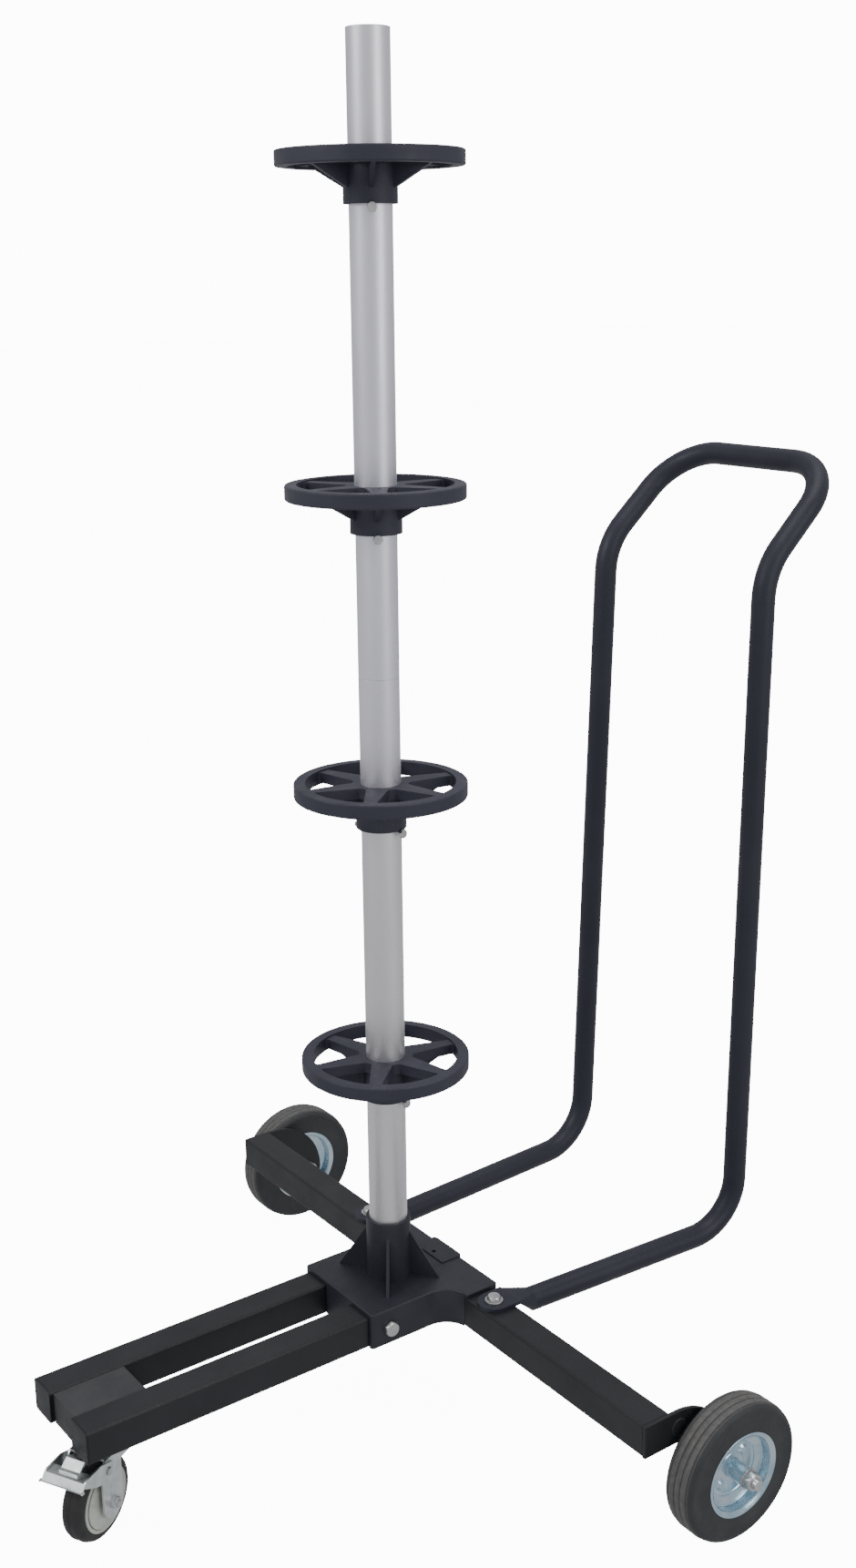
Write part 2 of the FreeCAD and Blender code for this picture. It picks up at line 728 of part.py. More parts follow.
def round_wire(radius, centre, way):
    """A circle across way, cut in four to pair with the flattened round."""
    turn = FreeCAD.Rotation(Y_AXIS, way)
    angles = [math.radians(a) for a in (55, 90, 125, 180, 235, 270, 305, 0)]
    points = [turn.multVec(V(radius * math.cos(a), 0, radius * math.sin(a))) + centre for a in angles]
    return Part.Wire([Part.Arc(points[0], points[1], points[2]).toShape(),
                      Part.Arc(points[2], points[3], points[4]).toShape(),
                      Part.Arc(points[4], points[5], points[6]).toShape(),
                      Part.Arc(points[6], points[7], points[0]).toShape()])


def make_tongue(side):
    """The flattened end that lies on the beam, and its blend into the round tube."""
    seat_z = tube_top
    x = side * handle_foot_x
    radius = tongue_width / 2
    flat_end = beam_y + tongue_straight
    foot = V(x, beam_y, seat_z)
    plate = cyl(radius, foot, foot + V(0, 0, tongue_thick))
    plate = plate.fuse(box(x - radius, x + radius, beam_y, flat_end, seat_z, seat_z + tongue_thick))
    flat_mid = V(x, flat_end, seat_z + tongue_thick / 2)
    run_start = handle_run_start(side)
    run_way = (handle_corner(side) - run_start).normalize()
    blend = Part.makeLoft([tongue_wire(tongue_width, tongue_thick, flat_mid),
                           round_wire(handle_radius, run_start, run_way)], True, True)
    end = plate.fuse(blend)
    return end.cut(cyl(m8_radius + pin_gap, foot - Z_AXIS, foot + V(0, 0, tongue_thick + 1)))


def make_handle_lower(side):
    points = [handle_run_start(side), handle_corner(side), handle_joint(side)]
    tube = pipe(points, [handle_low_bend], handle_radius, handle_radius - handle_wall)
    return tube.fuse(make_tongue(side))


def make_handle_upper():
    bar_right = V(handle_bar_x, handle_bar_y, handle_bar_z)
    bar_left = V(-handle_bar_x, handle_bar_y, handle_bar_z)
    points = [handle_joint(1), handle_knee(1), bar_right, bar_left, handle_knee(-1), handle_joint(-1)]
    bends = [handle_knee_bend, handle_bar_bend, handle_bar_bend, handle_knee_bend]
    return pipe(points, bends, handle_radius, handle_radius - handle_wall)


def make_handle_sleeve(side):
    middle = handle_joint(side)
    unit = (handle_knee(side) - handle_corner(side)).normalize()
    outer = handle_radius - handle_wall - running_gap
    return ring(outer, outer - handle_sleeve_wall, middle - unit * handle_sleeve_half,
                middle + unit * handle_sleeve_half)


def handle_seat(side):
    return V(side * handle_foot_x, beam_y, tube_top + tongue_thick)


def make_handle_washer(side):
    return washer(m8_radius, 10.5, handle_seat(side), Z_AXIS)


def make_handle_bolt(side):
    seat = handle_seat(side) + Z_AXIS * washer_thick
    grip = seat.z - tube_bottom
    return hex_bolt(m8_radius, m8_flats + 2, seat, -Z_AXIS, grip + 2 * m8_radius * nut_share + bolt_tail)


def make_handle_nut(side):
    return hex_nut(m8_radius, m8_flats, V(side * handle_foot_x, beam_y, tube_bottom), -Z_AXIS)


# ---- castor, drawn with its pin on the Z axis and its wheel towards -Y

def to_castor(shape):
    shape.rotate(V(0, 0, 0), Z_AXIS, castor_yaw)
    shape.translate(V(0, castor_y, 0))
    return shape


def castor_axle():
    return V(0, -castor_trail, castor_radius)


def make_castor_plate():
    x = castor_bolt_x + castor_plate_margin
    y = castor_bolt_y + castor_plate_margin
    plate = box(-x, x, -y, y, plate_z, tube_bottom)
    plate = plate.makeFillet(8.0, [e for e in plate.Edges if is_vertical(e)])
    plate = plate.fuse(ring(race_radius + 6, race_radius - 6, V(0, 0, plate_z - 3), V(0, 0, plate_z)))
    groove = Part.makeTorus(race_radius, ball_radius + running_gap, V(0, 0, ball_z()), Z_AXIS)
    plate = plate.cut(groove)
    plate = plate.cut(cyl(kingpin_radius + running_gap, V(0, 0, plate_z - 5), V(0, 0, tube_bottom + 1)))
    for dx in (-castor_bolt_x, castor_bolt_x):
        for dy in (-castor_bolt_y, castor_bolt_y):
            foot = V(dx, dy, plate_z - 1)
            plate = plate.cut(cyl(m8_radius + pin_gap, foot, foot + V(0, 0, 6)))
    plate.translate(V(0, castor_y, 0))
    return plate


def ball_z():
    return (plate_z - 3 + fork_top_z) / 2


def make_balls():
    balls = []
    for k in range(ball_count):
        turn = 2 * math.pi * k / ball_count
        centre = V(race_radius * math.cos(turn), race_radius * math.sin(turn), ball_z())
        balls.append(Part.makeSphere(ball_radius, centre))
    return to_castor(Part.makeCompound(balls))


def make_plate_bolts():
    bolts = []
    nuts = []
    for dx in (-castor_bolt_x, castor_bolt_x):
        for dy in (-castor_bolt_y, castor_bolt_y):
            seat = V(dx, castor_y + dy, plate_z)
            bolts.append(hex_bolt(m8_radius, m8_flats, seat, Z_AXIS, castor_plate_thick + tube_wall + 9))
            nut_seat = V(dx, castor_y + dy, tube_bottom + tube_wall)
            nuts.append(hex_nut(m8_radius, m8_flats, nut_seat, Z_AXIS))
    return Part.makeCompound(bolts), Part.makeCompound(nuts)


def make_kingpin():
    top = tube_bottom + 5
    pin = cyl(kingpin_radius, V(0, 0, fork_top_z - fork_sheet - 3), V(0, 0, top))
    under = fork_top_z - fork_sheet
    pin = pin.fuse(cyl(kingpin_radius + 4, V(0, 0, under - 6), V(0, 0, under)))
    pin = pin.fuse(cyl(kingpin_radius + 4, V(0, 0, tube_bottom + face_gap), V(0, 0, top)))
    return to_castor(pin.removeSplitter())


def fork_side_outline(x):
    """One side of the fork in its own plane: (distance towards the wheel, height)."""
    axle_d = castor_trail
    low = castor_radius
    top = fork_top_z
    leg_left = V(x, -(axle_d - fork_leg_half), low)
    leg_low = V(x, -axle_d, low - fork_leg_half)
    leg_right = V(x, -(axle_d + fork_leg_half), low)
    corner_front = V(x, -fork_front, top - 8)
    corner_top = V(x, -fork_front + 8, top)
    rear_top = V(x, fork_rear, top)
    rear_low = V(x, fork_rear, top - fork_flange)
    neck = V(x, -(axle_d - fork_leg_half), top - fork_flange - 3)
    edges = [Part.Arc(leg_left, leg_low, leg_right).toShape(),
             Part.LineSegment(leg_right, corner_front).toShape(),
             Part.LineSegment(corner_front, corner_top).toShape(),
             Part.LineSegment(corner_top, rear_top).toShape(),
             Part.LineSegment(rear_top, rear_low).toShape(),
             Part.LineSegment(rear_low, neck).toShape(),
             Part.LineSegment(neck, leg_left).toShape()]
    return Part.Face(Part.Wire(edges))


def make_fork():
    inner = fork_half - fork_sheet
    fork = box(-fork_half, fork_half, -fork_front + 8, fork_rear, fork_top_z - fork_sheet, fork_top_z)
    for x in (-fork_half, inner):
        fork = fork.fuse(fork_side_outline(x).extrude(V(fork_sheet, 0, 0)))
    fork = fork.removeSplitter()
    race_top = fork_top_z + 1.8
    fork = fork.fuse(ring(race_radius + 6, race_radius - 6, V(0, 0, fork_top_z), V(0, 0, race_top)))
    fork = fork.cut(Part.makeTorus(race_radius, ball_radius, V(0, 0, ball_z()), Z_AXIS))
    fork = fork.cut(cyl(kingpin_radius, V(0, 0, fork_top_z - 10), V(0, 0, fork_top_z + 5)))
    axle = castor_axle()
    reach = X_AXIS * (fork_half + 1)
    fork = fork.cut(cyl(castor_axle_radius, axle - reach, axle + reach))
    pivot = V(0, -pedal_pivot_reach, pedal_pivot_z)
    fork = fork.cut(cyl(pedal_pin_radius, pivot - reach, pivot + reach))
    return to_castor(fork)


def make_castor_axle_bolt():
    seat = castor_axle() - X_AXIS * fork_half
    length = 2 * fork_half + 2 * m8_radius * nut_share + bolt_tail
    return to_castor(hex_bolt(castor_axle_radius, m8_flats, seat, X_AXIS, length))


def make_castor_axle_nut():
    return to_castor(hex_nut(castor_axle_radius, m8_flats, castor_axle() + X_AXIS * fork_half, X_AXIS))


def make_castor_sleeve():
    half = X_AXIS * (fork_half - fork_sheet)
    middle = castor_axle()
    return to_castor(ring(castor_hub_radius - 3, castor_axle_radius, middle - half, middle + half))


def at_castor_axle(shape):
    shape.translate(castor_axle())
    return to_castor(shape)


def make_castor_tyre():
    half = castor_width / 2
    r = castor_radius
    shoulder = [(half, castor_core_radius), (half, r - 6), (half - 3, r - 2), (half - 8, r),
                (castor_groove, r)]
    points = [(-x, radius) for x, radius in shoulder] + [(0, r - castor_groove)] + shoulder[::-1]
    return at_castor_axle(revolve_x(points))


def make_castor_core():
    half = castor_width / 2 + 1
    hub_half = fork_half - fork_sheet - face_gap
    bore = castor_hub_radius - 3 + running_gap
    inside = castor_core_radius - castor_rim_width
    side = [(hub_half, bore), (hub_half, castor_hub_radius), (5, castor_hub_radius + 1), (5, inside - 2),
            (half, inside), (half, castor_core_radius)]
    points = [(-x, radius) for x, radius in side] + side[::-1]
    return at_castor_axle(revolve_x(points))


def make_castor_covers():
    covers = []
    half = castor_width / 2 + 1
    for way in (-1, 1):
        hole = castor_hub_radius + 2
        rim = castor_core_radius - castor_rim_width - 0.5
        points = [(half, rim), (half + 1.5, rim - 0.5), (half + 3, hole), (half + 1.8, hole),
                  (half, rim - 1.5)]
        covers.append(revolve_x([(way * x, r) for x, r in points]))
    return at_castor_axle(Part.makeCompound(covers))


def make_pedal():
    """Two side arms on the pivot, joined by a wide foot plate that curls down at its front."""
    arm_in = fork_half + face_gap
    arm_out = arm_in + pedal_sheet
    tip = -pedal_reach
    fold = tip + pedal_tread
    back = fold + pedal_flat
    pivot_y = -pedal_pivot_reach
    pivot_z = pedal_pivot_z
    arm_points = [(pivot_y + 7, pivot_z - 7), (pivot_y + 7, pivot_z + 8), (pivot_y - 14, pedal_z + 3),
                  (fold + 4, pedal_z + 2), (fold, pedal_z), (fold, pedal_z - 6), (pivot_y - 25, pivot_z - 4),
                  (pivot_y - 6, pivot_z - 11)]
    pedal = None
    for side in (-1, 1):
        arm = flat(arm_points, normal_x=arm_in).extrude(V(pedal_sheet, 0, 0))
        arm = arm if side > 0 else arm.mirror(V(0, 0, 0), X_AXIS)
        pedal = arm if pedal is None else pedal.fuse(arm)
    foot_points = [(back, pedal_z - pedal_sheet), (fold, pedal_z - pedal_sheet), (tip + 3, pedal_z - 9),
                   (tip, pedal_z - 7), (tip, pedal_z - 5), (tip + 3, pedal_z - 6.5), (fold, pedal_z),
                   (back, pedal_z)]
    pedal = pedal.fuse(flat(foot_points, normal_x=-arm_out).extrude(V(2 * arm_out, 0, 0)))
    for side in (-1, 1):
        ear = box(arm_out - 0.5, pedal_half, tip, tip + 4, pedal_z - 8, pedal_z - 6)
        ear = ear if side > 0 else ear.mirror(V(0, 0, 0), X_AXIS)
        pedal = pedal.fuse(ear)
    pivot = V(0, pivot_y, pedal_pivot_z)
    reach = X_AXIS * (pedal_half + 2)
    pedal = pedal.cut(cyl(pedal_pin_radius + running_gap, pivot - reach, pivot + reach))
    return to_castor(pedal.removeSplitter())


def make_pedal_tab():
    """The bright release tab that stands on the pedal's flat part and leans back to the fork."""
    fold = -pedal_reach + pedal_tread
    high = pedal_z + release_rise
    points = [(fold + 6, pedal_z), (fold + 13, pedal_z), (fold + 24, high - 2), (fold + 24, high),
              (fold + 20, high), (fold + 10, pedal_z + 2), (fold + 6, pedal_z + 2)]
    half = tab_width / 2
    return to_castor(flat(points, normal_x=-half).extrude(V(tab_width, 0, 0)))


def make_pivot_pins():
    pivot = V(0, -pedal_pivot_reach, pedal_pivot_z)
    pins = []
    for side in (-1, 1):
        start = pivot + X_AXIS * side * (fork_half - fork_sheet - 2)
        end = pivot + X_AXIS * side * (fork_half + face_gap + pedal_sheet + face_gap)
        pin = cyl(pedal_pin_radius, start, end)
        pin = pin.fuse(cyl(pedal_pin_radius + 1.5, end, end + X_AXIS * side * 1.5))
        pin = pin.fuse(cyl(pedal_pin_radius + 1.5, start, start + X_AXIS * side * 2))
        pins.append(pin.removeSplitter())
    return to_castor(Part.makeCompound(pins))


def write_base():
    save("cross_beam", make_cross_beam())
    save("hub_moulding", make_hub())
    save("hub_cross_bolt", make_hub_bolt())
    save("hub_cross_nut", make_hub_nut())
    save("leg_spacer_block", make_spacer())
    for side, word in ((-1, "left"), (1, "right")):
        save("leg_tube_" + word, make_leg_tube(side))
        save("leg_end_cap_" + word, make_leg_cap(side))
        save("wheel_bracket_" + word, make_bracket(side))


def write_mast():
    places = pin_places()
    floor_z = tube_bottom + mast_floor
    save("mast_lower_tube", make_mast(floor_z, mast_seam, places[:2]))
    save("mast_upper_tube", make_mast(mast_seam, mast_top, places[2:]))
    save("mast_joint_sleeve", make_mast_sleeve())
    save("disc_pin_bolts", Part.makeCompound([make_pin_bolt(*place) for place in places]))
    save("disc_pin_nuts", Part.makeCompound([make_pin_nut(*place) for place in places]))
    for number, place in enumerate(reversed(places), 1):
        save("carrier_disc_%d" % number, make_disc(*place))


def write_wheels():
    for side, word in ((-1, "left"), (1, "right")):
        save("wheel_tyre_" + word, to_wheel(revolve_x(tyre_outline()), side))
        save("rim_outer_half_" + word, to_wheel(make_rim_half(1), side))
        save("rim_inner_half_" + word, to_wheel(make_rim_half(-1), side))
        save("rim_rivets_" + word, to_wheel(make_rivets(), side))
        save("wheel_hub_tube_" + word, to_wheel(make_hub_tube(), side))
    sides = (-1, 1)
    save("axle_bolts", Part.makeCompound([make_axle_bolt(side) for side in sides]))
    save("axle_washers", Part.makeCompound(make_axle_washers(-1) + make_axle_washers(1)))
    save("axle_nuts", Part.makeCompound([make_axle_nut(side) for side in sides]))


def write_handle():
    for side, word in ((-1, "left"), (1, "right")):
        save("handle_lower_" + word, make_handle_lower(side))
        save("handle_sleeve_" + word, make_handle_sleeve(side))
    save("handle_upper_loop", make_handle_upper())
    sides = (-1, 1)
    save("handle_bolts", Part.makeCompound([make_handle_bolt(side) for side in sides]))
    save("handle_washers", Part.makeCompound([make_handle_washer(side) for side in sides]))
    save("handle_nuts", Part.makeCompound([make_handle_nut(side) for side in sides]))


def write_castor():
    bolts, nuts = make_plate_bolts()
    save("castor_top_plate", make_castor_plate())
    save("castor_plate_bolts", bolts)
    save("castor_plate_nuts", nuts)
    save("castor_balls", make_balls())
    save("castor_kingpin", make_kingpin())
    save("castor_fork", make_fork())
    save("castor_axle_bolt", make_castor_axle_bolt())
    save("castor_axle_nut", make_castor_axle_nut())
    save("castor_axle_sleeve", make_castor_sleeve())
    save("castor_tyre", make_castor_tyre())
    save("castor_core", make_castor_core())
    save("castor_covers", make_castor_covers())
    save("brake_pedal", make_pedal())
    save("brake_release_tab", make_pedal_tab())
    save("brake_pivot_pins", make_pivot_pins())


os.makedirs("parts", exist_ok=True)
write_base()
write_mast()
write_wheels()
write_handle()
write_castor()
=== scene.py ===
import json
import math

import bpy
from mathutils import Matrix, Vector

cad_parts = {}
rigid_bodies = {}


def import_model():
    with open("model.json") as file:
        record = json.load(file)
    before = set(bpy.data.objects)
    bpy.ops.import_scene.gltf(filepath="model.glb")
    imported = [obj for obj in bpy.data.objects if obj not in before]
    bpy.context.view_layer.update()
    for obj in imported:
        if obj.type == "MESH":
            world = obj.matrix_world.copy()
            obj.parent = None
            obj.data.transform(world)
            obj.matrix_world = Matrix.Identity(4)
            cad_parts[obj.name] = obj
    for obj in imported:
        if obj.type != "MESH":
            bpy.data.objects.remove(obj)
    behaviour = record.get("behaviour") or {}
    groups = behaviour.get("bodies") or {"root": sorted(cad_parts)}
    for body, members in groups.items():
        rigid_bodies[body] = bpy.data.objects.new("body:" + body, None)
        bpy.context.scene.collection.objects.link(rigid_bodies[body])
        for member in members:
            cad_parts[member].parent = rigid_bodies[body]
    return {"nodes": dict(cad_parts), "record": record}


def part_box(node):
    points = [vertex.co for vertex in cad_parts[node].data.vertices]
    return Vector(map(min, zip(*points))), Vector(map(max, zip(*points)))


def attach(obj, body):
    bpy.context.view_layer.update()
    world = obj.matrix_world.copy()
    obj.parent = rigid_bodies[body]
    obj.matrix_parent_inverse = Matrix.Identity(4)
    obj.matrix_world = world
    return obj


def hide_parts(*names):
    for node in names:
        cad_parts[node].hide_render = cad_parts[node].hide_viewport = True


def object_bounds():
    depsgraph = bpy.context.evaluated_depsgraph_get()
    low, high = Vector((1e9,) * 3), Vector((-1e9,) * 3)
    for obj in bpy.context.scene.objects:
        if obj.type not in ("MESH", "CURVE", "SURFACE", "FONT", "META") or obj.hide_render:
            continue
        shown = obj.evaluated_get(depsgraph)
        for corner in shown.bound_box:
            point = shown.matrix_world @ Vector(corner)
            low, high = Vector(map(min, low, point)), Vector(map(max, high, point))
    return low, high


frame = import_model()
cadLow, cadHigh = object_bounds()  # the CAD model's own box
mm = 0.001
merging = {"copy": 0.004, "turned": 0.001, "flat": 0.6}  # mm, mm and degrees
print("frame loaded:", len(frame["nodes"]), "nodes")


# small working steps used by every piece

def clearSelection():
    if bpy.context.mode != "OBJECT":
        bpy.ops.object.mode_set(mode="OBJECT")
    bpy.ops.object.select_all(action="DESELECT")


def makeActive(piece):
    clearSelection()
    piece.select_set(True)
    bpy.context.view_layer.objects.active = piece


def editAll(piece):
    makeActive(piece)
    bpy.ops.object.mode_set(mode="EDIT")
    bpy.ops.mesh.select_all(action="SELECT")


def applyModifiers(piece):
    makeActive(piece)
    for modifier in list(piece.modifiers):
        bpy.ops.object.modifier_apply(modifier=modifier.name)


def smoothShade(piece, angle=35, even=True):
    # smooth across small angles, with the wide faces kept flat
    makeActive(piece)
    bpy.ops.object.shade_smooth_by_angle(angle=math.radians(angle))
    if not even:
        return
    evening = piece.modifiers.new("evenNormals", "WEIGHTED_NORMAL")
    evening.keep_sharp = True
    bpy.ops.object.modifier_apply(modifier=evening.name)


def nodeCentre(node):
    low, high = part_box(node)
    return (low + high) / 2


def installPiece(piece, body, slot, material, *nodes):
    piece.data.materials.clear()
    piece.data.materials.append(material)
    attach(piece, body)
    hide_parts(*nodes)


def roundedCopy(node, name, edge, segments=2, sharp=28, smooth=35, even=True):
    # a merged copy of a CAD mesh with its sharp edges rounded over
    clearSelection()
    piece = bpy.data.objects.new(name, bpy.data.objects[node].data.copy())
    piece.data.name = name
    bpy.context.scene.collection.objects.link(piece)
    editAll(piece)
    bpy.ops.mesh.remove_doubles(threshold=merging["copy"] * mm)
    bpy.ops.mesh.dissolve_limited(angle_limit=math.radians(merging["flat"]))
    clearSelection()
    rounding = piece.modifiers.new("edgeRounding", "BEVEL")
    rounding.width = edge * mm
    rounding.segments = segments
    rounding.limit_method = "ANGLE"
    rounding.angle_limit = math.radians(sharp)
    rounding.use_clamp_overlap = True
    applyModifiers(piece)
    smoothShade(piece, smooth, even)
    return piece


def turnedPiece(name, outline, centre, axis="X", steps=96, corner=0.0, segments=2):
    # a closed outline of (place along the axis, radius) in mm, spun round the axis
    along = Vector((1, 0, 0)) if axis == "X" else Vector((0, 0, 1))
    outward = Vector((0, 0, 1)) if axis == "X" else Vector((0, -1, 0))
    points = [(along * a + outward * r) * mm for a, r in outline]
    clearSelection()
    bpy.ops.mesh.primitive_plane_add(size=mm, location=(0, 0, 0))
    piece = bpy.context.object
    piece.name = piece.data.name = name
    editAll(piece)
    bpy.ops.mesh.merge(type="CENTER")
    bpy.ops.transform.translate(value=points[0])
    for before, after in zip(points, points[1:] + points[:1]):
        bpy.ops.mesh.extrude_vertices_move(TRANSFORM_OT_translate={"value": after - before})
    bpy.ops.mesh.select_all(action="SELECT")
    bpy.ops.mesh.remove_doubles(threshold=merging["turned"] * mm)
    if corner:
        bpy.ops.mesh.bevel(offset=corner * mm, segments=segments, affect="VERTICES", clamp_overlap=True)
        bpy.ops.mesh.select_all(action="SELECT")
    bpy.ops.mesh.spin(steps=steps, angle=2 * math.pi, center=(0, 0, 0), axis=along)
    bpy.ops.mesh.select_all(action="SELECT")
    bpy.ops.mesh.remove_doubles(threshold=merging["turned"] * mm)
    bpy.ops.mesh.normals_make_consistent(inside=False)
    bpy.ops.transform.translate(value=centre)
    clearSelection()
    smoothShade(piece, 40)
    return piece


# materials: one builder, and a few finishes that need more

def addNode(tree, kind, **values):
    node = tree.nodes.new("ShaderNode" + kind)
    for key, value in values.items():
        if key in node.inputs:
            node.inputs[key].default_value = value
        else:
            setattr(node, key, value)
    return node


def mixColour(tree, share, first, second):
    mix = tree.nodes.new("ShaderNodeMix")
    mix.data_type = "RGBA"
    for socket, value in ((0, share), (6, first), (7, second)):
        if isinstance(value, bpy.types.NodeSocket):
            tree.links.new(value, mix.inputs[socket])
        else:
            mix.inputs[socket].default_value = value
    return mix.outputs[2]


def noiseMap(tree, coords, scale, detail=4.0, low=0.35, high=0.65, stretch=(1, 1, 1), toLow=0.0, toHigh=1.0):
    # noise in object space, spread over the range toLow to toHigh
    mapping = addNode(tree, "Mapping", Scale=stretch)
    tree.links.new(coords, mapping.inputs["Vector"])
    noise = addNode(tree, "TexNoise", Scale=scale, Detail=detail, Roughness=0.6)
    tree.links.new(mapping.outputs[0], noise.inputs["Vector"])
    spread = tree.nodes.new("ShaderNodeMapRange")
    for key, value in zip(("From Min", "From Max", "To Min", "To Max"), (low, high, toLow, toHigh)):
        spread.inputs[key].default_value = value
    tree.links.new(noise.outputs[0], spread.inputs[0])
    return spread.outputs[0]


def addBump(tree, shader, height, strength, distance, normal=None):
    bump = addNode(tree, "Bump", Strength=strength, Distance=distance * mm)
    tree.links.new(height, bump.inputs["Height"])
    if normal is not None:
        tree.links.new(normal, bump.inputs["Normal"])
    tree.links.new(bump.outputs[0], shader.inputs["Normal"])
    return bump.outputs[0]


def makeFinish(name, look):
    # base colour with a second shade in soft patches and specks, uneven gloss, and grain as bump
    material = bpy.data.materials.new(name)
    material.use_nodes = True
    tree = material.node_tree
    shader = tree.nodes["Principled BSDF"]
    coords = tree.nodes.new("ShaderNodeTexCoord").outputs["Object"]
    stretch = look.get("stretch", (1, 1, 1))
    patch = noiseMap(tree, coords, look["patchScale"], 5.0, 0.38, 0.68, stretch)
    colour = mixColour(tree, patch, (*look["colour"], 1), (*look["shade"], 1))
    if "speck" in look:
        speck = noiseMap(tree, coords, look["speckScale"], 3.0, look.get("speckFrom", 0.66), 0.8, stretch)
        colour = mixColour(tree, speck, colour, (*look["speck"], 1))
    tree.links.new(colour, shader.inputs["Base Color"])
    low, high = look["roughness"]
    gloss = noiseMap(tree, coords, look["patchScale"] * 2.3, 4.0, 0.3, 0.7, stretch, low, high)
    tree.links.new(gloss, shader.inputs["Roughness"])
    shader.inputs["Metallic"].default_value = look.get("metallic", 0.0)
    shader.inputs["Specular IOR Level"].default_value = look.get("specular", 0.4)
    grain = noiseMap(tree, coords, look["grainScale"], 2.0, 0.3, 0.7, look.get("grainStretch", (1, 1, 1)))
    normal = addBump(tree, shader, grain, look.get("grainStrength", 0.3), look["grainDepth"])
    if "waveScale" in look:
        wave = noiseMap(tree, coords, look["waveScale"], 2.0, 0.3, 0.7, look.get("waveStretch", (1, 1, 1)))
        addBump(tree, shader, wave, 0.6, look["waveDepth"], normal)
    return material


finishes = {
    "framePaint": {"colour": (0.0105, 0.0112, 0.0142), "shade": (0.0165, 0.0172, 0.0205), "patchScale": 9,
                   "speck": (0.045, 0.045, 0.047), "speckScale": 420, "speckFrom": 0.70,
                   "roughness": (0.40, 0.56), "grainScale": 900, "grainDepth": 0.05,
                   "waveScale": 60, "waveDepth": 0.06},
    "handlePaint": {"colour": (0.0145, 0.0150, 0.0275), "shade": (0.0215, 0.0222, 0.0370), "patchScale": 7,
                    "speck": (0.040, 0.042, 0.048), "speckScale": 500, "speckFrom": 0.72,
                    "roughness": (0.42, 0.56), "grainScale": 700, "grainDepth": 0.04,
                    "waveScale": 45, "waveDepth": 0.05},
    "discMoulding": {"colour": (0.0275, 0.0275, 0.0450), "shade": (0.0360, 0.0362, 0.0570), "patchScale": 14,
                     "speck": (0.065, 0.065, 0.072), "speckScale": 330, "speckFrom": 0.71,
                     "roughness": (0.46, 0.62), "grainScale": 1300, "grainDepth": 0.06,
                     "waveScale": 90, "waveDepth": 0.05},
    "capPlastic": {"colour": (0.0118, 0.0124, 0.0150), "shade": (0.0180, 0.0187, 0.0215), "patchScale": 18,
                   "roughness": (0.44, 0.58), "grainScale": 1200, "grainDepth": 0.05,
                   "waveScale": 70, "waveDepth": 0.05},
    "blackMoulding": {"colour": (0.0195, 0.0200, 0.0285), "shade": (0.0270, 0.0277, 0.0380), "patchScale": 14,
                      "speck": (0.050, 0.050, 0.054), "speckScale": 330, "speckFrom": 0.71,
                      "roughness": (0.42, 0.58), "grainScale": 1300, "grainDepth": 0.06,
                      "waveScale": 90, "waveDepth": 0.05},
    "spacerPlastic": {"colour": (0.036, 0.037, 0.041), "shade": (0.048, 0.049, 0.053), "patchScale": 20,
                      "roughness": (0.55, 0.7), "grainScale": 1100, "grainDepth": 0.06},
    "innerSteel": {"colour": (0.42, 0.42, 0.41), "shade": (0.30, 0.30, 0.30), "patchScale": 25,
                   "metallic": 1.0,
                   "roughness": (0.3, 0.45), "grainScale": 500, "grainDepth": 0.03},
    "zincHardware": {"colour": (0.66, 0.66, 0.65), "shade": (0.50, 0.51, 0.52), "patchScale": 130,
                     "metallic": 1.0, "speck": (0.36, 0.35, 0.33), "speckScale": 600, "speckFrom": 0.66,
                     "roughness": (0.26, 0.42), "grainScale": 900, "grainDepth": 0.03},
    "zincRim": {"colour": (0.66, 0.76, 0.82), "shade": (0.38, 0.56, 0.67), "patchScale": 32,
                "metallic": 1.0, "speck": (0.70, 0.72, 0.70), "speckScale": 90, "speckFrom": 0.58,
                "roughness": (0.18, 0.32), "grainScale": 700, "grainDepth": 0.03,
                "waveScale": 110, "waveDepth": 0.05},
    "castorZinc": {"colour": (0.76, 0.79, 0.78), "shade": (0.56, 0.61, 0.62), "patchScale": 60,
                   "metallic": 1.0, "speck": (0.40, 0.41, 0.41), "speckScale": 420, "speckFrom": 0.68,
                   "roughness": (0.26, 0.42), "grainScale": 800, "grainDepth": 0.03,
                   "waveScale": 130, "waveDepth": 0.04},
    "castorRubber": {"colour": (0.021, 0.021, 0.022), "shade": (0.034, 0.033, 0.033), "patchScale": 50,
                     "roughness": (0.5, 0.68), "grainScale": 1100, "grainDepth": 0.08},
    "castorCore": {"colour": (0.56, 0.58, 0.52), "shade": (0.44, 0.46, 0.41), "patchScale": 60,
                   "roughness": (0.24, 0.38), "grainScale": 900, "grainDepth": 0.04},
}
material = {name: makeFinish(name, look) for name, look in finishes.items()}
print("finishes made:", ", ".join(material))


mast = {"radius": 22.5, "wall": 2.0, "edge": 0.7, "steps": 128,
        "upper": (0.86, 0.85, 0.93), "lower": (0.80, 0.79, 0.765), "seam": 0.886,
        "fadeBelow": 0.25, "fadeAbove": 0.05, "lowerShare": 0.55}


